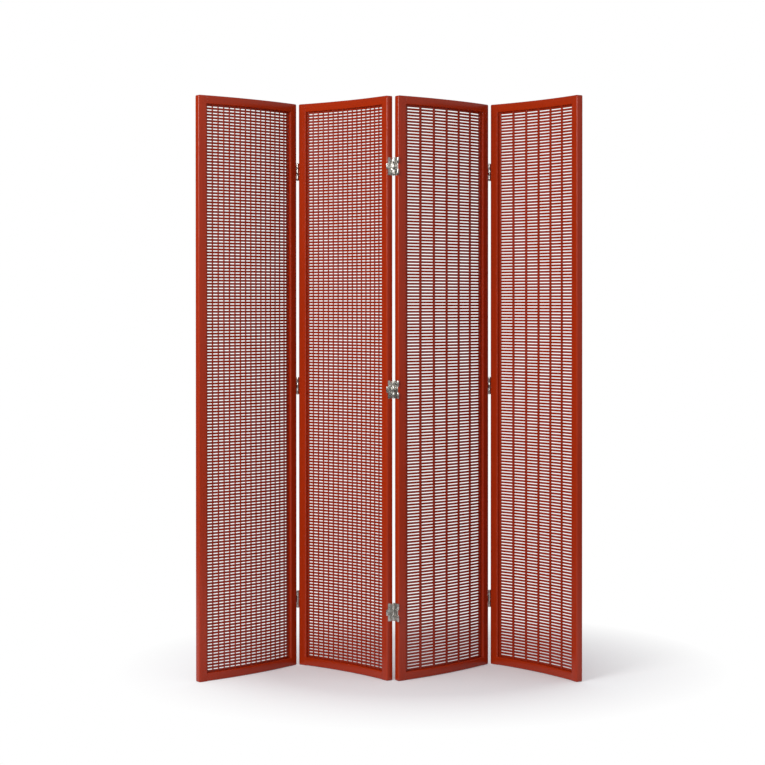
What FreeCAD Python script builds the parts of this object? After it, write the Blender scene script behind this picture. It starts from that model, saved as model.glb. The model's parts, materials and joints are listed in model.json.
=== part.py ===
import FreeCAD, Part
import Sketcher
import os
import re

# Four-panel folding screen: curved lattice panels on double-acting hinges, millimetres and degrees
doc = FreeCAD.newDocument("FoldingScreen")
sizes = doc.addObject("Spreadsheet::Sheet", "Sizes")
next_row = 1


def cell(alias, content):
    """Write one named size or formula into the next row of the sheet."""
    global next_row
    sizes.set(f"A{next_row}", alias)
    sizes.set(f"B{next_row}", str(content))
    sizes.setAlias(f"B{next_row}", alias)
    next_row += 1


# Panel frame
cell("screen_height", 1800)
cell("panel_width", 400)
cell("curve_radius", 1160)
cell("frame_depth", 22)
cell("stile_width", 30)
cell("stile_round", 4)
cell("rail_height", 26)
cell("rail_lift", 1)
cell("tenon_length", 16)
cell("tenon_depth", 8)
cell("tenon_wall", 1)
cell("tenon_clearance", 0.2)

# Lattice: every slat_step-th slat of the full row count stands in this model
cell("fine_columns", 16)
cell("wide_columns", 6)
cell("slot_rows", 181)
cell("slat_step", 5)
cell("slat_height", 6.3)
cell("slat_depth", 4)
cell("fine_bar_width", 3.6)
cell("wide_bar_width", 6)
cell("bar_depth", 2.2)
cell("lattice_seat", 5)
cell("lattice_clearance", 0.3)

# Double-acting hinges: two pin lines, of which each pair of panels turns on one
cell("hinge_height", 55)
cell("hinge_foot", 211)
cell("hinge_head", 217)
cell("hinge_count", 3)
cell("leaf_thickness", 1.8)
cell("leaf_gap", 1.4)
cell("strap_thickness", 0.8)
cell("pin_stand", 1.2)
cell("knuckle_radius", 3.5)
cell("knuckle_flats", 7)
cell("knuckle_clearance", 0.4)
cell("knuckle_end_gap", 0.3)
cell("pin_radius", 1.75)
cell("pin_running_clearance", 0.05)
cell("pin_tip", 0.8)

# Standing pose
cell("yaw_2", -42.7)
cell("fold_12", 89)
cell("fold_23", 87.9)
cell("fold_34", 94.8)
cell("middle_x", 0)
cell("middle_y", 0)

# Radii and turns shared by the pieces of a panel, seen from the centre of its curve
cell("half_turn", "=asin(panel_width / 2 / curve_radius) / 1 deg")
cell("stile_turn", "=stile_width / curve_radius * 180 / pi")
cell("rail_turn", "=half_turn - stile_turn")
cell("outer_radius", "=curve_radius + frame_depth / 2")
cell("inner_radius", "=curve_radius - frame_depth / 2")
cell("tenon_shoulder", "=lattice_seat + lattice_clearance + tenon_wall")
cell("opening_height", "=screen_height - 2 * rail_height")
cell("row_pitch", "=(opening_height - slat_height) / slot_rows")
cell("slat_count", "=floor((slot_rows - 1) / slat_step)")
cell("slat_turn", "=rail_turn + lattice_seat / curve_radius * 180 / pi")
for weave in ("fine", "wide"):
    border = f"({weave}_bar_width / 2 + lattice_clearance)"
    cell(f"{weave}_bar_turn", f"=rail_turn - {border} / curve_radius * 180 / pi")
cell("layer_front", "=(bar_depth + lattice_clearance + slat_depth) / 2")
cell("slat_front", "=layer_front - bar_depth - lattice_clearance")
cell("slat_rise", "=(curve_radius + slat_front) * (1 / cos(slat_turn / 3) - 1)")

# Hinge line geometry: the pin stands just past the frame face, midway between two panel edges
cell("hinge_gap", "=2 * leaf_thickness + leaf_gap")
cell("pin_reach", "=frame_depth / 2 + pin_stand")
cell("bore_corner_radius", "=(pin_radius + pin_running_clearance) / cos(180 / knuckle_flats)")
cell("knuckle_length", "=(hinge_height - 2 * knuckle_end_gap) / 3")
cell("hinge_base", "=hinge_foot - hinge_height / 2")
cell("hinge_run", "=screen_height - hinge_foot - hinge_head")

# Direction from the centre of each curve to the middle of its panel
cell("turn_2", "=yaw_2 + 90")
cell("turn_1", "=yaw_2 + fold_12 - 90")
cell("turn_3", "=yaw_2 + fold_23 - 90")
cell("turn_4", "=yaw_2 + fold_23 - fold_34 + 90")


def across(radius, offset, turn):
    """World x and y formulas of a point given along and across a turned direction."""
    x = f"(({radius}) * cos({turn}) - ({offset}) * sin({turn}))"
    y = f"(({radius}) * sin({turn}) + ({offset}) * cos({turn}))"
    return x, y


# The curve of panels 1 and 3 bulges to the front, that of panels 2 and 4 to the back
FACING = {1: 1, 2: -1, 3: 1, 4: -1}
WEAVE = {1: "fine", 2: "fine", 3: "wide", 4: "wide"}

# Each hinge line: left panel, right panel, and which end of both curves it joins
HINGE_LINES = {1: (1, 2, 1), 2: (2, 3, -1), 3: (3, 4, 1)}


def pin_from(panel, pin_side, end):
    """Pin position relative to the centre of one panel's curve."""
    return across(f"curve_radius + {pin_side} * pin_reach", f"{end} * hinge_gap / 2",
                  f"turn_{panel} + {end} * half_turn")


def chain(line, known, unknown):
    """Place the pin of a hinge line from one panel, then the other panel from the pin."""
    left, right, end = HINGE_LINES[line]
    known_side = 1 if known == left else -1
    known_x, known_y = pin_from(known, known_side, end)
    cell(f"pin_x_{line}", f"=centre_x_{known} + {known_x}")
    cell(f"pin_y_{line}", f"=centre_y_{known} + {known_y}")
    unknown_x, unknown_y = pin_from(unknown, -known_side, end)
    cell(f"centre_x_{unknown}", f"=pin_x_{line} - {unknown_x}")
    cell(f"centre_y_{unknown}", f"=pin_y_{line} - {unknown_y}")


cell("centre_x_2", "=-middle_x")
cell("centre_y_2", "=-middle_y")
chain(1, 2, 1)
chain(2, 2, 3)
chain(3, 3, 4)
doc.recompute()


def value(expression):
    """Number that a formula over the sheet gives now."""
    return float(sizes.evalExpression(expression))


size_names = {sizes.get(f"A{row}") for row in range(1, next_row)}


def of_sheet(expression):
    """The same formula as another object writes it, each size name led by the sheet's name."""
    words = re.split(r"(\w+)", expression)
    return "".join(f"Sizes.{word}" if word in size_names else word for word in words)


def bind(item, field, expression):
    """Tie a property or a named constraint to a formula over the sheet."""
    item.setExpression(field, of_sheet(expression))


def new_body(label, panel, turn):
    """Body whose origin is the centre of a panel's curve, turned about the upright axis."""
    body = doc.addObject("PartDesign::Body", label)
    body.Label = label
    body.AllowCompound = True
    bind(body, ".Placement.Base.x", f"centre_x_{panel}")
    bind(body, ".Placement.Base.y", f"centre_y_{panel}")
    bind(body, ".Placement.Rotation.Angle", turn)
    return body


def origin_part(body, role):
    """Origin plane or axis of a body."""
    return [item for item in body.Origin.OriginFeatures if item.Role == role][0]


def new_sketch(body, name, lift="0", turn="0", role="XY_Plane"):
    """Sketch on an origin plane, raised and turned about that plane's normal."""
    sketch = body.newObject("Sketcher::SketchObject", name)
    sketch.AttachmentSupport = [(origin_part(body, role), "")]
    sketch.MapMode = "FlatFace"
    if lift != "0":
        bind(sketch, ".AttachmentOffset.Base.z", lift)
    if turn != "0":
        bind(sketch, ".AttachmentOffset.Rotation.Angle", turn)
    return sketch


def pin_point(sketch, geometry, vertex, x, y):
    """Hold one sketch point at formula coordinates measured from the sketch origin."""
    for kind, expression in (("DistanceX", x), ("DistanceY", y)):
        index = sketch.addConstraint(
            Sketcher.Constraint(kind, -1, 1, geometry, vertex, value(expression)))
        sketch.renameConstraint(index, f"{kind}_{geometry}")
        bind(sketch, f"Constraints.{kind}_{geometry}", expression)


def polygon(sketch, corners):
    """Closed outline through corners given as pairs of formulas."""
    places = [FreeCAD.Vector(value(x), value(y), 0) for x, y in corners]
    for index, place in enumerate(places):
        sketch.addGeometry(Part.LineSegment(place, places[(index + 1) % len(places)]))
    for index, (x, y) in enumerate(corners):
        previous = (index - 1) % len(corners)
        sketch.addConstraint(Sketcher.Constraint("Coincident", previous, 2, index, 1))
        pin_point(sketch, index, 1, x, y)


def rectangle(sketch, x_low, x_high, y_low, y_high):
    """Closed rectangle between formula limits."""
    polygon(sketch, [(x_low, y_low), (x_high, y_low), (x_high, y_high), (x_low, y_high)])


def circle(sketch, x, y, radius):
    """Circle at formula coordinates."""
    centre = FreeCAD.Vector(value(x), value(y), 0)
    sketch.addGeometry(Part.Circle(centre, FreeCAD.Vector(0, 0, 1), value(radius)))
    pin_point(sketch, 0, 3, x, y)
    index = sketch.addConstraint(Sketcher.Constraint("Radius", 0, value(radius)))
    sketch.renameConstraint(index, "Radius_0")
    bind(sketch, "Constraints.Radius_0", radius)


def flats(sketch, x, y, radius):
    """Regular outline of knuckle_flats sides whose corners lie on a circle."""
    count = round(value("knuckle_flats"))
    corners = []
    for number in range(count):
        turn = f"{number} * 360 / knuckle_flats"
        corners.append((f"{x} + ({radius}) * cos({turn})", f"{y} + ({radius}) * sin({turn})"))
    polygon(sketch, corners)


def pad(body, name, sketch, length):
    """Raise a sketch straight up."""
    feature = body.newObject("PartDesign::Pad", name)
    feature.Profile = sketch
    bind(feature, "Length", length)
    sketch.Visibility = False
    return feature


def pocket(body, name, sketch, depth):
    """Cut straight down from a sketch."""
    feature = body.newObject("PartDesign::Pocket", name)
    feature.Profile = sketch
    bind(feature, "Length", depth)
    sketch.Visibility = False
    return feature


def row_up(body, features, length, count):
    """Repeat features up the height of the screen."""
    doc.recompute()
    pattern = body.newObject("PartDesign::LinearPattern", f"{body.Name}_row")
    pattern.Originals = features
    pattern.Direction = (origin_part(body, "Z_Axis"), [""])
    bind(pattern, "Length", length)
    bind(pattern, "Occurrences", count)
    body.Tip = pattern


# Frame pieces of one panel

def make_stile(label, panel, end):
    """Upright with rounded arrises, two mortises and a groove for the slat ends."""
    body = new_body(label, panel, f"turn_{panel} + {end} * half_turn")
    section = new_sketch(body, f"{label}_section")
    inner_side = [(f"{radius} * cos(stile_turn)", f"-{end} * {radius} * sin(stile_turn)")
                  for radius in ("outer_radius", "inner_radius")]
    polygon(section, [("inner_radius", "0"), ("outer_radius", "0")] + inner_side)
    post = pad(body, f"{label}_post", section, "screen_height")
    doc.recompute()
    on_edge_side = [f"Edge{number}" for number, edge in enumerate(post.Shape.Edges, 1)
                    if edge.BoundBox.YLength < 0.001 and edge.BoundBox.XLength < 0.001
                    and abs(edge.BoundBox.YMin) < 0.001]
    rounds = body.newObject("PartDesign::Fillet", f"{label}_rounds")
    rounds.Base = (post, on_edge_side)
    bind(rounds, "Radius", "stile_round")
    for face, outward in (("outer", 1), ("inner", -1)):
        ease = new_sketch(body, f"{label}_{face}_ease_plan", "screen_height - rail_height",
                          f"-{end} * stile_turn")
        past = f"({face}_radius + {outward} * tenon_clearance)"
        corners = [(past, f"-{end} * tenon_clearance"),
                   (f"{face}_radius - {outward} * stile_round", f"-{end} * tenon_clearance")]
        for step in range(4):
            corners.append((f"{face}_radius - {outward} * stile_round * (1 - sin({step} * 30))",
                            f"{end} * stile_round * (1 - cos({step} * 30))"))
        corners.append((past, f"{end} * stile_round"))
        polygon(ease, corners)
        pocket(body, f"{label}_{face}_ease", ease, "opening_height")
    mortise_half = "(tenon_depth / 2 + tenon_clearance)"
    tops = {"foot": "rail_height - tenon_shoulder + tenon_clearance",
            "head": "screen_height - tenon_shoulder + tenon_clearance"}
    heights = {"foot": "rail_height - rail_lift - 2 * tenon_shoulder + 2 * tenon_clearance",
               "head": "rail_height - 2 * tenon_shoulder + 2 * tenon_clearance"}
    for where in tops:
        sketch = new_sketch(body, f"{label}_{where}_mortise_plan", tops[where],
                            f"-{end} * stile_turn")
        rectangle(sketch, f"curve_radius - {mortise_half}", f"curve_radius + {mortise_half}",
                  f"-{end} * tenon_clearance", f"{end} * (tenon_length + tenon_clearance)")
        pocket(body, f"{label}_{where}_mortise", sketch, heights[where])
    facing = FACING[panel]
    groove = new_sketch(body, f"{label}_groove_plan", "screen_height - rail_height",
                        f"-{end} * stile_turn")
    front = f"curve_radius + {facing} * (slat_front + 2 * lattice_clearance)"
    back = f"curve_radius + {facing} * (slat_front - slat_depth - slat_rise - 2 * lattice_clearance)"
    rectangle(groove, back, front, f"-{end} * tenon_clearance",
              f"{end} * (lattice_seat + lattice_clearance)")
    pocket(body, f"{label}_groove", groove, "opening_height")
    return body


def make_rail(label, panel, base, top, grooved_top):
    """Curved rail: a grooved section revolved about the curve's axis, with two tenons."""
    body = new_body(label, panel, f"turn_{panel}")
    facing = FACING[panel]
    groove = [f"curve_radius + {facing} * (layer_front + lattice_clearance)",
              f"curve_radius + {facing} * (slat_front - slat_depth)"]
    low_edge, high_edge = sorted(groove, key=value)
    section = new_sketch(body, f"{label}_section", role="XZ_Plane")
    seat = "(lattice_seat + lattice_clearance)"
    if grooved_top:
        notch = [(high_edge, top), (high_edge, f"{top} - {seat}"),
                 (low_edge, f"{top} - {seat}"), (low_edge, top)]
        outline = [("inner_radius", base), ("outer_radius", base), ("outer_radius", top)]
        outline += notch + [("inner_radius", top)]
    else:
        notch = [(low_edge, base), (low_edge, f"{base} + {seat}"),
                 (high_edge, f"{base} + {seat}"), (high_edge, base)]
        outline = [("inner_radius", base)] + notch
        outline += [("outer_radius", base), ("outer_radius", top), ("inner_radius", top)]
    polygon(section, outline)
    sweep = body.newObject("PartDesign::Revolution", f"{label}_sweep")
    sweep.Profile = section
    sweep.ReferenceAxis = (section, ["V_Axis"])
    sweep.Midplane = True
    bind(sweep, "Angle", "2 * rail_turn")
    section.Visibility = False
    for name, end in (("tenon_a", 1), ("tenon_b", -1)):
        sketch = new_sketch(body, f"{label}_{name}_plan", f"{base} + tenon_shoulder",
                            f"{end} * rail_turn")
        rectangle(sketch, "curve_radius - tenon_depth / 2", "curve_radius + tenon_depth / 2",
                  f"-{end} * tenon_depth", f"{end} * tenon_length")
        pad(body, f"{label}_{name}", sketch, f"{top} - ({base}) - 2 * tenon_shoulder")
    return body


# Lattice of one panel

def make_bars(label, panel):
    """Upright lattice bars in front of the slats, their ends seated in the rail grooves."""
    body = new_body(label, panel, f"turn_{panel}")
    facing = FACING[panel]
    weave = WEAVE[panel]
    plan = new_sketch(body, f"{label}_plan", "rail_height - lattice_seat", f"-{weave}_bar_turn")
    rectangle(plan, f"curve_radius + {facing} * (layer_front - bar_depth)",
              f"curve_radius + {facing} * layer_front",
              f"-{weave}_bar_width / 2", f"{weave}_bar_width / 2")
    bar = pad(body, f"{label}_bar", plan, "opening_height + 2 * lattice_seat")
    doc.recompute()
    fan = body.newObject("PartDesign::PolarPattern", f"{label}_fan")
    fan.Originals = [bar]
    fan.Axis = (origin_part(body, "Z_Axis"), [""])
    bind(fan, "Angle", f"2 * {weave}_bar_turn")
    bind(fan, "Occurrences", f"{weave}_columns + 1")
    body.Tip = fan
    return body


def make_slats(label, panel):
    """Slats bent in flats along the curve, their ends seated in the stile grooves."""
    body = new_body(label, panel, f"turn_{panel}")
    facing = FACING[panel]
    flat_front = "(curve_radius + slat_front)" if facing > 0 else \
        "((curve_radius - slat_front) / cos(slat_turn / 3))"
    flat_back = f"({flat_front} - {facing} * slat_depth)"
    turns = ["-slat_turn", "-slat_turn / 3", "slat_turn / 3", "slat_turn"]
    corners = [(f"{flat_front} * cos({turn})", f"{flat_front} * sin({turn})") for turn in turns]
    corners += [(f"{flat_back} * cos({turn})", f"{flat_back} * sin({turn})")
                for turn in reversed(turns)]
    plan = new_sketch(body, f"{label}_plan", "rail_height + (slat_step - 1) * row_pitch")
    polygon(plan, corners)
    slat = pad(body, f"{label}_slat", plan, "slat_height")
    row_up(body, [slat], "(slat_count - 1) * slat_step * row_pitch", "slat_count")
    return body


# Hinge pieces of one hinge line

def knuckle_low(place):
    """Height of the foot of one of a hinge's three knuckle places, counted upwards."""
    return f"hinge_base + {place} * (knuckle_length + knuckle_end_gap)"


def pin_axis(side, end):
    """Plan position of the pin line before or behind a panel's edge."""
    return f"curve_radius + {side} * pin_reach", f"{end} * hinge_gap / 2"


def make_leaves(label, panel, end, places):
    """Three leaves: an edge plate, and straps across it whose ends roll round both pin lines."""
    body = new_body(label, panel, f"turn_{panel} + {end} * half_turn")
    half_plate = "(pin_reach - knuckle_radius - knuckle_clearance)"
    plate_plan = new_sketch(body, f"{label}_plate_plan", "hinge_base")
    rectangle(plate_plan, f"curve_radius - {half_plate}", f"curve_radius + {half_plate}", "0",
              f"{end} * leaf_thickness")
    features = [pad(body, f"{label}_plate", plate_plan, "hinge_height")]
    for place in places:
        low = knuckle_low(place)
        strap_plan = new_sketch(body, f"{label}_strap_plan_{place}", low)
        rectangle(strap_plan, "curve_radius - pin_reach", "curve_radius + pin_reach", "0",
                  f"{end} * (leaf_thickness + strap_thickness)")
        features.append(pad(body, f"{label}_strap_{place}", strap_plan, "knuckle_length"))
        for name, side in (("outer", 1), ("inner", -1)):
            barrel_plan = new_sketch(body, f"{label}_{name}_barrel_plan_{place}", low)
            flats(barrel_plan, *pin_axis(side, end), "knuckle_radius")
            barrel = pad(body, f"{label}_{name}_barrel_{place}", barrel_plan, "knuckle_length")
            features.append(barrel)
    for name, side in (("outer", 1), ("inner", -1)):
        bore_plan = new_sketch(body, f"{label}_{name}_bore_plan", "hinge_base + hinge_height")
        flats(bore_plan, *pin_axis(side, end), "bore_corner_radius")
        features.append(pocket(body, f"{label}_{name}_bore", bore_plan, "hinge_height"))
    row_up(body, features, "hinge_run", "hinge_count")
    return body


def make_pins(label, panel, side, end, outline, spans):
    """Pins on one pin line of three hinges, each span given as its foot and its length."""
    body = new_body(label, panel, f"turn_{panel} + {end} * half_turn")
    features = []
    for number, (low, length) in enumerate(spans):
        plan = new_sketch(body, f"{label}_plan_{number}", low)
        outline(plan, *pin_axis(side, end), "pin_radius")
        features.append(pad(body, f"{label}_shank_{number}", plan, length))
    row_up(body, features, "hinge_run", "hinge_count")
    return body


pieces = []
for panel, facing in FACING.items():
    name = f"panel_{panel}"
    pieces.append(make_stile(f"{name}_left_stile", panel, -facing))
    pieces.append(make_stile(f"{name}_right_stile", panel, facing))
    pieces.append(make_rail(f"{name}_bottom_rail", panel, "rail_lift", "rail_height", True))
    pieces.append(make_rail(f"{name}_top_rail", panel, "(screen_height - rail_height)",
                            "screen_height", False))
    pieces.append(make_bars(f"{name}_lattice_bars", panel))
    pieces.append(make_slats(f"{name}_lattice_slats", panel))

# Straps of the left leaf take the middle of each hinge, those of the right leaf its two ends
STRAP_PLACES = {"left": [1], "right": [0, 2]}
for line, (left, right, end) in HINGE_LINES.items():
    name = f"hinge_line_{line}"
    for hand, panel, turning_side in (("left", left, 1), ("right", right, -1)):
        places = STRAP_PLACES[hand]
        pieces.append(make_leaves(f"{name}_{hand}_leaves", panel, end, places))
        spans = [(knuckle_low(place), "knuckle_length") for place in places]
        pieces.append(make_pins(f"{name}_{hand}_strap_pins", panel, -turning_side, end, flats, spans))
    whole = [("hinge_base - pin_tip", "hinge_height + 2 * pin_tip")]
    pieces.append(make_pins(f"{name}_pins", right, -1, end, circle, whole))
doc.recompute()

# Stand the screen with its origin on the floor under the middle of its outline
box = FreeCAD.BoundBox()
for piece in pieces:
    box.add(piece.Shape.BoundBox)
for alias, middle in (("middle_x", box.Center.x), ("middle_y", box.Center.y)):
    sizes.set(sizes.getCellFromAlias(alias), f"{middle:.6f}")
doc.recompute()

# Check and write every piece
os.makedirs("parts", exist_ok=True)
for item in doc.Objects:
    if "Invalid" in item.State or "Error" in item.State:
        raise RuntimeError(f"{item.Label} did not build: {item.State}")
for piece in pieces:
    shape = piece.Shape
    if shape.isNull() or not shape.isValid():
        raise RuntimeError(f"{piece.Label} has no valid solid")
    shape.exportStep(f"parts/{piece.Label}.step")
    print(piece.Label, len(shape.Solids), "solids", round(shape.Volume), "mm3")
for line in HINGE_LINES:
    print("pin", line, round(value(f"pin_x_{line}"), 4), round(value(f"pin_y_{line}"), 4))
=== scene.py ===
import bpy
import json
from math import asin, cos, pi, radians, sin
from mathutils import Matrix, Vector


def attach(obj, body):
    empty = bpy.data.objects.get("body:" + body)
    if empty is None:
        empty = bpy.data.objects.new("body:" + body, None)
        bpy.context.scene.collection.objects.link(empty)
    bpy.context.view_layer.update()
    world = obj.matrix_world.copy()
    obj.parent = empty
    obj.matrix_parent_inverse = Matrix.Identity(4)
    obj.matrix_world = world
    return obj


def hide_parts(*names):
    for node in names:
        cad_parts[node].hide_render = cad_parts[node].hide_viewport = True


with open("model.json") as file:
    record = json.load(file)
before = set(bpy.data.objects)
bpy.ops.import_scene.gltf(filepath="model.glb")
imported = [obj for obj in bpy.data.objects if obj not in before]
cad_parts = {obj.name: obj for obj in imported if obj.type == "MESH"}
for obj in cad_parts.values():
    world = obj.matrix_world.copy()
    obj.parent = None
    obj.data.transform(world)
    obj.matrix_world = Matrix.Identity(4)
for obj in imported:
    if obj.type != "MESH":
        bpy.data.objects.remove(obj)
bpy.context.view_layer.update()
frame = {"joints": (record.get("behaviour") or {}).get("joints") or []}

# Sizes in metres and the count of rows, as in the source
HEIGHT = 1.8
CURVE = 1.16
CHORD = 0.4
DEPTH = 0.022
STILE = 0.030
STILE_ROUND = 0.004
RAIL = 0.026
RAIL_LIFT = 0.001
ROWS = 181
SLAT_HEIGHT = 0.0063
SLAT_FRONT = 0.00075
SLAT_BACK = -0.00325
BAR_FRONT = 0.00325
BAR_BACK = 0.00105
BORDER_GAP = 0.0003
HINGE_HEIGHT = 0.055
HINGE_FOOT = 0.211
HINGE_HEAD = 0.217
LEAF = 0.0018
LEAF_GAP = 0.0014
STRAP = 0.0008
PIN_STAND = 0.0012
KNUCKLE = 0.0035
KNUCKLE_CLEAR = 0.0004
KNUCKLE_END = 0.0003
PIN = 0.00175
PIN_TIP = 0.0008

# Bar widths, larger than in the source and nearer to the photograph
FINE_BAR = 0.0046
WIDE_BAR = 0.009

# Edges, ends and screw heads, which the source leaves out or has otherwise
RAIL_ROUND = 0.003
SOFT_EDGE = 0.0015
HAIRLINE = 0.00025
END_SLIM = 0.6
LATTICE_SEAT = 0.004
LATTICE_EASE = 0.0006
METAL_EASE = 0.0003
PLATE_ROUND = 0.0012
STRAP_ROUND = 0.0001
PIN_DOME = 0.0007
STRAP_PIN_TIP = 0.0001
SCREW_HEAD = 0.0030
SCREW_RIM = 0.0027
SCREW_SINK = -0.0004
SCREW_EDGE = 0.00005
SCREW_TOP = 0.0002
SLOT_REACH = 0.0024
SLOT_HALF = 0.0003
SLOT_FLOOR = -0.00025

# Sizes that follow from those
HALF_TURN = asin(CHORD / 2 / CURVE)
HALF_ARC = CURVE * HALF_TURN
OPENING = HALF_ARC - STILE
HINGE_GAP = 2 * LEAF + LEAF_GAP
PIN_REACH = DEPTH / 2 + PIN_STAND
PLATE_HALF = PIN_REACH - KNUCKLE - KNUCKLE_CLEAR
ROW_PITCH = (HEIGHT - 2 * RAIL - SLAT_HEIGHT) / ROWS
KNUCKLE_LENGTH = (HINGE_HEIGHT - 2 * KNUCKLE_END) / 3
HINGE_STEP = (HEIGHT - HINGE_FOOT - HINGE_HEAD) / 2
HINGE_BASES = [HINGE_FOOT - HINGE_HEIGHT / 2 + step * HINGE_STEP for step in range(3)]

PINS = {joint["name"]: Vector(joint["pos_m"]) for joint in frame["joints"]}


class Panel:
    """One curved panel: the centre of its curve, the way it faces, and its lattice columns."""

    def __init__(self, number, turn, facing, columns, bar, pin, pin_side, end):
        self.name = f"panel_{number}"
        self.turn = radians(turn)
        self.facing = facing
        self.columns = columns
        self.bar = bar
        self.centre = Vector((0, 0, 0))
        self.centre = PINS[pin] - self.edge_point(end, pin_side * PIN_REACH, end * HINGE_GAP / 2, 0)
        self.centre.z = 0

    def place(self, along, out, up):
        """Point to the right along the curve, out to the front of it, and up."""
        turn = self.turn + self.facing * along / CURVE
        reach = CURVE + self.facing * out
        return self.centre + Vector((reach * cos(turn), reach * sin(turn), up))

    def edge_point(self, end, outward, past, up):
        """Point at one end edge: outward from the curve's centre, and past the edge."""
        turn = self.turn + end * HALF_TURN
        ray = Vector((cos(turn), sin(turn), 0))
        side = Vector((-sin(turn), cos(turn), 0))
        return self.centre + ray * (CURVE + outward) + side * past + Vector((0, 0, up))


# Number, turn in degrees, facing, columns, bar width, and the pin line that places the panel
PANELS = {
    1: Panel(1, -43.7, 1, 16, FINE_BAR, "fold_12", 1, 1),
    2: Panel(2, 47.3, -1, 16, FINE_BAR, "fold_12", -1, 1),
    3: Panel(3, -44.8, 1, 6, WIDE_BAR, "fold_23", -1, -1),
    4: Panel(4, 40.4, -1, 6, WIDE_BAR, "fold_34", -1, 1),
}
# Left panel, right panel, and which end of both curves the hinge line joins
HINGE_LINES = {1: (1, 2, 1), 2: (2, 3, -1), 3: (3, 4, 1)}


class Shape:
    """Points and faces of one piece, with the coordinates that its grain follows."""

    def __init__(self):
        self.points = []
        self.faces = []
        self.grain = []

    def loft(self, rings, place, shift=0.0):
        """Join closed rings of local points, cap both ends, and put them in the room."""
        first = len(self.points)
        count = len(rings[0])
        for ring in rings:
            for local in ring:
                self.points.append(place(*local))
                self.grain.append((local[0] + shift, local[1] + shift * 0.7, local[2] + shift))
        for level in range(len(rings) - 1):
            base = first + level * count
            for index in range(count):
                after = (index + 1) % count
                self.faces.append((base + index, base + after, base + count + after, base + count + index))
        self.faces.append(tuple(range(first + count - 1, first - 1, -1)))
        last = first + (len(rings) - 1) * count
        self.faces.append(tuple(range(last, last + count)))

    def piece(self, name, body, material, slot, *nodes):
        """Make the object, let it move with its body and stand for its solids."""
        mesh = bpy.data.meshes.new(name)
        mesh.from_pydata(self.points, [], self.faces)
        grain = mesh.attributes.new("grain", "FLOAT_VECTOR", "POINT")
        grain.data.foreach_set("vector", [number for point in self.grain for number in point])
        mesh.polygons.foreach_set("use_smooth", [True] * len(mesh.polygons))
        mesh.set_sharp_from_angle(angle=radians(38))
        mesh.materials.append(material)
        made = bpy.data.objects.new(name, mesh)
        bpy.context.scene.collection.objects.link(made)
        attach(made, body)
        if nodes:
            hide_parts(*nodes)


def rounded(low_x, high_x, low_y, high_y, low_round, high_round, steps):
    """Rectangle whose two low corners and two high corners are rounded, as points in order."""
    points = []
    corners = ((1, 1, 0), (-1, 1, 1), (-1, -1, 2), (1, -1, 3))
    for right, top, quarter in corners:
        radius = high_round if right > 0 else low_round
        centre_x = (high_x if right > 0 else low_x) - right * radius
        centre_y = (high_y if top > 0 else low_y) - top * radius
        for step in range(steps + 1):
            turn = pi / 2 * (quarter + step / steps)
            points.append((centre_x + radius * cos(turn), centre_y + radius * sin(turn)))
    return points


def disc(radius, count):
    """Circle as points in order."""
    return [(radius * cos(2 * pi * k / count), radius * sin(2 * pi * k / count)) for k in range(count)]


def eased(length, ease, steps=3):
    """Heights along a length with the inset that rounds both of its ends."""
    start = []
    for step in range(steps + 1):
        turn = pi / 2 * step / steps
        start.append((ease * (1 - sin(turn)), ease * (1 - cos(turn))))
    finish = [(length - height, inset) for height, inset in start]
    return sorted(start) + sorted(finish)


# Materials
class Wire:
    """One output of a material's nodes. Arithmetic on it adds Math nodes."""

    def __init__(self, tree, socket=None):
        self.tree = tree
        self.socket = socket

    def node(self, kind, settings=None, sockets=None, out=0):
        """Add a node, give it its settings, fill or link its sockets, and hand on one output."""
        made = self.tree.nodes.new(kind)
        for name, value in (settings or {}).items():
            setattr(made, name, value)
        for key, value in (sockets or {}).items():
            if isinstance(value, Wire):
                self.tree.links.new(value.socket, made.inputs[key])
            else:
                made.inputs[key].default_value = value
        return None if out is None else Wire(self.tree, made.outputs[out])

    def maths(self, operation, first, second):
        return self.node("ShaderNodeMath", {"operation": operation}, {0: first, 1: second})

    def __add__(self, other):
        return self.maths("ADD", self, other)

    def __radd__(self, other):
        return self.maths("ADD", other, self)

    def __sub__(self, other):
        return self.maths("SUBTRACT", self, other)

    def __rsub__(self, other):
        return self.maths("SUBTRACT", other, self)

    def __mul__(self, other):
        return self.maths("MULTIPLY", self, other)

    def __rmul__(self, other):
        return self.maths("MULTIPLY", other, self)

    def mix(self, low, high):
        """Colour between two, with this value as the share of the second."""
        return self.node("ShaderNodeMix", {"data_type": "RGBA"}, {0: self, 6: low, 7: high}, 2)

    def between(self, low, high):
        """This value's rise from low to high, as 0 to 1."""
        return self.node("ShaderNodeMapRange", {"clamp": True}, {0: self, 1: low, 2: high})

    def stretched(self, across, out, along):
        """Vector with its three parts scaled."""
        return self.node("ShaderNodeVectorMath", {"operation": "MULTIPLY"},
                         {0: self, 1: (across, out, along)})

    def noise(self, scale, detail=3.0):
        """Cloudy pattern over this vector."""
        return self.node("ShaderNodeTexNoise", None, {"Vector": self, "Scale": scale, "Detail": detail})


def material(name, build):
    """Material whose surface comes from a function that adds its nodes."""
    made = bpy.data.materials.new(name)
    made.use_nodes = True
    made.node_tree.nodes.clear()
    surface = build(Wire(made.node_tree))
    surface.node("ShaderNodeOutputMaterial", None, {"Surface": surface}, None)
    return made


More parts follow.
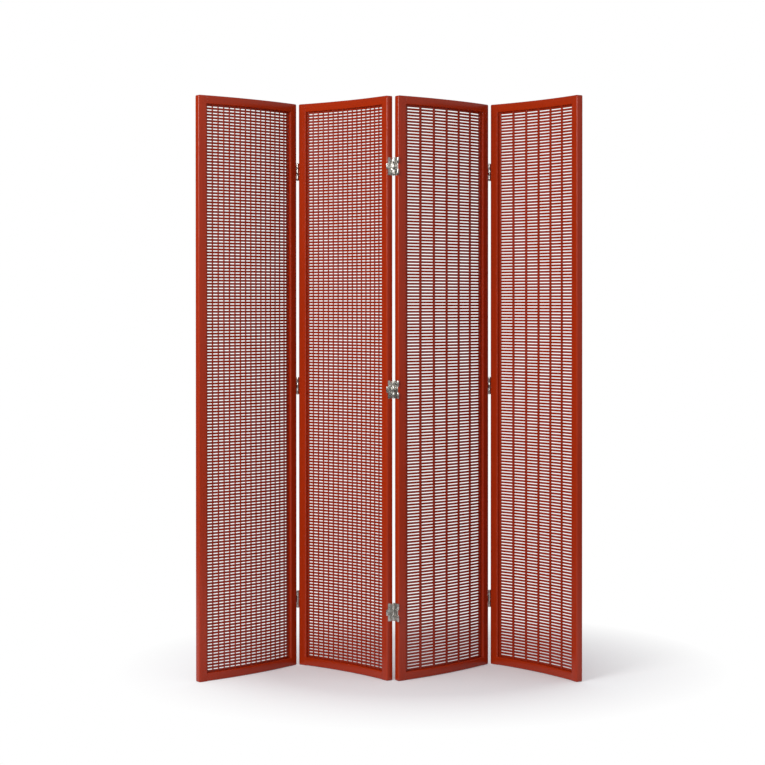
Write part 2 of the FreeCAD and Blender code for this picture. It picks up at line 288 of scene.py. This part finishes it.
def lacquer(deep, full, gloss):
    """Red lacquer over close grain: tone, sheen and a faint ripple all vary."""
    def build(start):
        spot = start.node("ShaderNodeAttribute", {"attribute_name": "grain"}, None, "Vector")
        pores = spot.stretched(420, 420, 9).noise(1.0, 4.0)
        drift = spot.stretched(9, 9, 2.2).noise(1.0, 2.0)
        ripple = spot.noise(260.0, 2.0)
        tone = pores.between(0.38, 0.66) * 0.55 + drift.between(0.3, 0.7) * 0.45
        sheen = gloss + ripple * 0.06 + pores * 0.05
        height = ripple * 0.6 + pores * 0.4
        skin = start.node("ShaderNodeBump", None,
                          {"Strength": 0.10, "Distance": 0.0004, "Height": height})
        return start.node("ShaderNodeBsdfPrincipled", None, {
            "Base Color": tone.mix(deep, full), "Roughness": sheen, "Normal": skin, "IOR": 1.46})
    return build


def plated(colour, dark, rough):
    """Bright plate with fine draw marks and a few dull patches."""
    def build(start):
        spot = start.node("ShaderNodeAttribute", {"attribute_name": "grain"}, None, "Vector")
        marks = spot.stretched(2600, 2600, 160).noise(1.0, 2.0)
        dull = spot.noise(140.0, 3.0).between(0.42, 0.68)
        skin = start.node("ShaderNodeBump", None,
                          {"Strength": 0.12, "Distance": 0.0001, "Height": marks})
        return start.node("ShaderNodeBsdfPrincipled", None, {
            "Base Color": dull.mix(colour, dark), "Metallic": 1.0,
            "Roughness": rough + dull * 0.12 + marks * 0.06, "Normal": skin})
    return build


frame_lacquer = material("frame_lacquer", lacquer(
    (0.35, 0.0225, 0.0018, 1), (0.42, 0.0285, 0.0024, 1), 0.20))
# Painted shade: the lattice is the same red lacquer as the frame, with its base colour made darker to
# stand for the shade in the lattice
lattice_lacquer = material("lattice_lacquer", lacquer(
    (0.29, 0.017, 0.0016, 1), (0.36, 0.022, 0.0020, 1), 0.30))
nickel = material("bright_nickel", plated((0.68, 0.66, 0.62, 1), (0.46, 0.45, 0.42, 1), 0.19))
screw_steel = material("screw_steel", plated((0.56, 0.56, 0.55, 1), (0.34, 0.34, 0.33, 1), 0.20))
pin_steel = material("pin_steel", plated((0.54, 0.54, 0.52, 1), (0.38, 0.37, 0.36, 1), 0.26))


# Frame of one panel
def make_stile(panel, side, shift):
    """Upright: outer arrises round all the way, inner ones only between the flush rail joints."""
    levels = [(height, inset, HAIRLINE) for height, inset in eased(HEIGHT, STILE_ROUND)]
    levels += [(RAIL - RAIL_ROUND, 0.0, HAIRLINE), (RAIL, 0.0, STILE_ROUND)]
    levels += [(HEIGHT - RAIL, 0.0, STILE_ROUND), (HEIGHT - RAIL + RAIL_ROUND, 0.0, HAIRLINE)]
    rings = []
    for height, inset, inner in sorted(levels):
        half = DEPTH / 2 - inset * SOFT_EDGE / STILE_ROUND
        outer = STILE_ROUND - inset * END_SLIM
        outline = rounded(OPENING, HALF_ARC - inset, -half, half, inner, outer, 6)
        rings.append([(side * along, out, height) for along, out in outline[::side]])
    shape = Shape()
    shape.loft(rings, panel.place, shift)
    node = f"{panel.name}_{'left' if side < 0 else 'right'}_stile"
    shape.piece(f"{node}_lacquered", panel.name, frame_lacquer, "frame_lacquer", node)


def make_rail(panel, where, low, high, low_round, high_round, shift):
    """Curved rail, rounded towards the lattice, its ends butted flush against the stiles."""
    stations = 40
    places = [(OPENING - HAIRLINE) * (2 * step / stations - 1) for step in range(stations + 1)]
    rings = []
    insets = [(-OPENING, HAIRLINE)] + [(place, 0.0) for place in places] + [(OPENING, HAIRLINE)]
    for along, inset in insets:
        outline = rounded(low + inset, high - inset, inset - DEPTH / 2, DEPTH / 2 - inset,
                          low_round, high_round, 4)
        rings.append([(up, out, along) for up, out in outline])
    shape = Shape()
    shape.loft(rings, lambda up, out, along: panel.place(along, out, up), shift)
    node = f"{panel.name}_{where}_rail"
    shape.piece(f"{node}_lacquered", panel.name, frame_lacquer, "frame_lacquer", node)


def make_bars(panel, shift):
    """Upright lattice bars, one at each side of every column of slots."""
    half = panel.bar / 2
    reach = OPENING - half - BORDER_GAP
    shape = Shape()
    for number in range(panel.columns + 1):
        middle = reach * (2 * number / panel.columns - 1)
        outline = rounded(middle - half, middle + half, BAR_BACK, BAR_FRONT, LATTICE_EASE, LATTICE_EASE, 2)
        ends = (RAIL - LATTICE_SEAT, HEIGHT - RAIL + LATTICE_SEAT)
        rings = [[(along, out, up) for along, out in outline] for up in ends]
        shape.loft(rings, panel.place, shift + number * 0.31)
    node = f"{panel.name}_lattice_bars"
    shape.piece(f"{node}_lacquered", panel.name, lattice_lacquer, "lattice_lacquer", node)


def make_slats(panel, shift):
    """Every slat of the lattice, bent along the curve."""
    stations = 12
    reach = OPENING + LATTICE_SEAT
    shape = Shape()
    for number in range(ROWS + 1):
        low = RAIL + number * ROW_PITCH
        outline = rounded(low, low + SLAT_HEIGHT, SLAT_BACK, SLAT_FRONT, LATTICE_EASE, LATTICE_EASE, 1)
        rings = []
        for step in range(stations + 1):
            along = reach * (2 * step / stations - 1)
            rings.append([(up, out, along) for up, out in outline])
        shape.loft(rings, lambda up, out, along: panel.place(along, out, up), shift + number * 0.173)
    node = f"{panel.name}_lattice_slats"
    shape.piece(f"{node}_lacquered", panel.name, lattice_lacquer, "lattice_lacquer", node)


# The last number of each call shifts the grain, so that no two pieces have the same
for number, panel in PANELS.items():
    make_stile(panel, -1, number * 1.7)
    make_stile(panel, 1, number * 2.9)
    make_rail(panel, "bottom", RAIL_LIFT, RAIL, SOFT_EDGE, RAIL_ROUND, number * 3.1)
    make_rail(panel, "top", HEIGHT - RAIL, HEIGHT, RAIL_ROUND, SOFT_EDGE, number * 4.3)
    make_bars(panel, number * 5.3)
    make_slats(panel, number * 7.9)


# Hinges
def make_leaves(node, panel, end, straps, screw_places):
    """Three leaves: an edge plate, and straps across it that roll round both pin lines."""
    leaves = Shape()
    screws = Shape()

    def flat(outward, up, past):
        return panel.edge_point(end, outward, end * past, up)

    for base in HINGE_BASES:
        rings = []
        for past, inset in ((0.0, 0.0), (LEAF - METAL_EASE, 0.0), (LEAF, METAL_EASE)):
            outline = rounded(inset - PLATE_HALF, PLATE_HALF - inset,
                              base + inset, base + HINGE_HEIGHT - inset, PLATE_ROUND, PLATE_ROUND, 4)
            rings.append([(outward, up, past) for outward, up in outline])
        leaves.loft(rings, flat)
        for foot, length in straps:
            rings = []
            for past, inset in ((0.0, 0.0), (LEAF + STRAP - METAL_EASE, 0.0), (LEAF + STRAP, METAL_EASE)):
                outline = rounded(-PIN_REACH, PIN_REACH, base + foot + inset, base + foot + length - inset,
                                  STRAP_ROUND, STRAP_ROUND, 1)
                rings.append([(outward, up, past) for outward, up in outline])
            leaves.loft(rings, flat)
            for axis in (-PIN_REACH, PIN_REACH):
                rings = []
                for height, inset in eased(length, METAL_EASE, 2):
                    rings.append([(x, y, base + foot + height) for x, y in disc(KNUCKLE - inset, 36)])
                leaves.loft(rings, lambda x, y, up: flat(axis + x, up, HINGE_GAP / 2 + y))
        for outward, height in screw_places:
            make_screw(screws, lambda x, y, past: flat(outward + x, base + height + y, LEAF + past))
    leaves.piece(f"{node}_plated", panel.name, nickel, "hinge_plate", node)
    screws.piece(f"{node}_screws", panel.name, screw_steel, "hinge_plate")


def make_screw(shape, place):
    """Countersunk head, a little proud of its leaf, with a driver slot."""
    rings = []
    for reach, past in ((SCREW_HEAD, SCREW_SINK), (SCREW_HEAD, SCREW_EDGE), (SCREW_RIM, SCREW_TOP)):
        rings.append([(x, y, past) for x, y in disc(reach, 28)])
    for past in (SCREW_TOP, SLOT_FLOOR):
        rings.append([(x, max(-SLOT_HALF, min(SLOT_HALF, y)), past) for x, y in disc(SLOT_REACH, 28)])
    shape.loft(rings, place)


def make_pins(node, panel, side, end, spans, proud):
    """Round pins with domed tips on one pin line, each a little longer than its span."""
    shape = Shape()
    for base in HINGE_BASES:
        for foot, length in spans:
            rings = []
            for height, inset in eased(length + 2 * proud, PIN_DOME, 3):
                rings.append([(x, y, base + foot - proud + height) for x, y in disc(PIN - inset, 28)])
            shape.loft(rings, lambda x, y, up: panel.edge_point(
                end, side * PIN_REACH + x, end * (HINGE_GAP / 2 + y), up))
    shape.piece(f"{node}_steel", panel.name, pin_steel, "hinge_pin", node)


THIRDS = [(place * (KNUCKLE_LENGTH + KNUCKLE_END), KNUCKLE_LENGTH) for place in range(3)]
# Screw places on a leaf: out from its middle, and up from its foot
LEFT_SCREWS = [(0.0, 0.0091), (0.0, 0.0459)]
RIGHT_SCREWS = [(-0.0038, 0.0247), (0.0038, 0.0303)]
HANDS = {"left": ([THIRDS[1]], LEFT_SCREWS), "right": ([THIRDS[0], THIRDS[2]], RIGHT_SCREWS)}
for line, (left, right, end) in HINGE_LINES.items():
    name = f"hinge_line_{line}"
    for hand, panel, turning_side in (("left", PANELS[left], 1), ("right", PANELS[right], -1)):
        straps, screw_places = HANDS[hand]
        make_leaves(f"{name}_{hand}_leaves", panel, end, straps, screw_places)
        make_pins(f"{name}_{hand}_strap_pins", panel, -turning_side, end, straps, STRAP_PIN_TIP)
    make_pins(f"{name}_pins", PANELS[right], -1, end, [(0.0, HINGE_HEIGHT)], PIN_TIP)


# Stage
def floor_surface(start):
    """Paper with the shadow near the screen, plain white farther off, and dull far off in reflections."""
    spot = start.node("ShaderNodeNewGeometry", None, None, "Position")
    away = start.node("ShaderNodeVectorMath", {"operation": "DISTANCE"},
                      {0: spot, 1: (0.1, 0.15, 0)}, "Value")
    direct, mirrored = [start.node("ShaderNodeLightPath", None, None, kind)
                        for kind in ("Is Camera Ray", "Is Glossy Ray")]
    paper = start.node("ShaderNodeBsdfDiffuse", None, {"Color": (0.82, 0.82, 0.84, 1)})
    lift = start.node("ShaderNodeEmission", None, {"Color": (0.96, 0.96, 1.0, 1), "Strength": 0.14})
    lifted = start.node("ShaderNodeAddShader", None, {0: paper, 1: lift})
    white = start.node("ShaderNodeEmission", None, {"Strength": 1.0})
    dull = start.node("ShaderNodeBsdfDiffuse", None, {"Color": (0.07, 0.07, 0.07, 1)})
    seen = start.node("ShaderNodeMixShader", None, {0: away.between(0.5, 0.98), 1: lifted, 2: white})
    bounced = start.node("ShaderNodeMixShader", None,
                         {0: mirrored * away.between(1.8, 3.0), 1: paper, 2: dull})
    return start.node("ShaderNodeMixShader", None, {0: direct, 1: bounced, 2: seen})


floor_mesh = bpy.data.meshes.new("floor")
floor_mesh.from_pydata([(-20, -20, 0), (20, -20, 0), (20, 20, 0), (-20, 20, 0)], [], [(0, 1, 2, 3)])
floor_mesh.materials.append(material("floor_white", floor_surface))
floor = bpy.data.objects.new("floor", floor_mesh)
# A hair below the feet, so that the two share no plane
floor.location.z = -0.0004
bpy.context.scene.collection.objects.link(floor)

world = bpy.data.worlds.new("studio")
bpy.context.scene.world = world
world.use_nodes = True
world.node_tree.nodes.clear()
room = Wire(world.node_tree)
direct, mirrored, through = [room.node("ShaderNodeLightPath", None, None, kind)
                             for kind in ("Is Camera Ray", "Is Glossy Ray", "Is Transmission Ray")]
heading = room.node("ShaderNodeTexCoord", None, None, "Generated")
rightward, backward, upward = [room.node("ShaderNodeSeparateXYZ", None, {0: heading}, part)
                               for part in "XYZ"]
backdrop = backward.between(0.6, 0.95)
pale_side = rightward.between(0.1, 0.8)
dim_front = backward.between(-0.2, -0.9)
reflected = backdrop * 0.95 + pale_side * 0.46 + dim_front * 0.1 + 0.04
soft = upward.between(0.2, 0.9) * 0.65 + backward.between(-0.25, 0.5) * 0.28 + 0.12
seen = (direct + through).between(0, 1)
other = 1.0 - seen
level = seen + other * mirrored * reflected + other * (1.0 - mirrored) * soft
glow = room.node("ShaderNodeBackground", None, {"Color": (1, 1, 1, 1), "Strength": level})
room.node("ShaderNodeOutputWorld", None, {"Surface": glow}, None)


def soft_lamp(name, place, aim, size, power):
    """Square soft light turned to a point."""
    data = bpy.data.lights.new(name, "AREA")
    data.shape = "SQUARE"
    data.size = size
    data.energy = power
    lamp = bpy.data.objects.new(name, data)
    lamp.location = place
    lamp.rotation_euler = (Vector(aim) - Vector(place)).to_track_quat("-Z", "Y").to_euler()
    bpy.context.scene.collection.objects.link(lamp)


soft_lamp("key_light", (-2.4, -3.4, 2.45), (0, 0, 0.9), 1.8, 114)

# Camera from the perspective fit to the photograph
camera_data = bpy.data.cameras.new("camera")
camera_data.lens = 90.127
camera_data.sensor_width = 36
camera_data.shift_x = -0.06873
camera_data.shift_y = -0.08304
camera = bpy.data.objects.new("camera", camera_data)
camera.location = (0.1413, -6.0233, 1.1652)
camera.rotation_euler = (radians(89.5), 0, 0)
bpy.context.scene.collection.objects.link(camera)
bpy.context.scene.camera = camera
bpy.context.scene.view_settings.view_transform = "Standard"
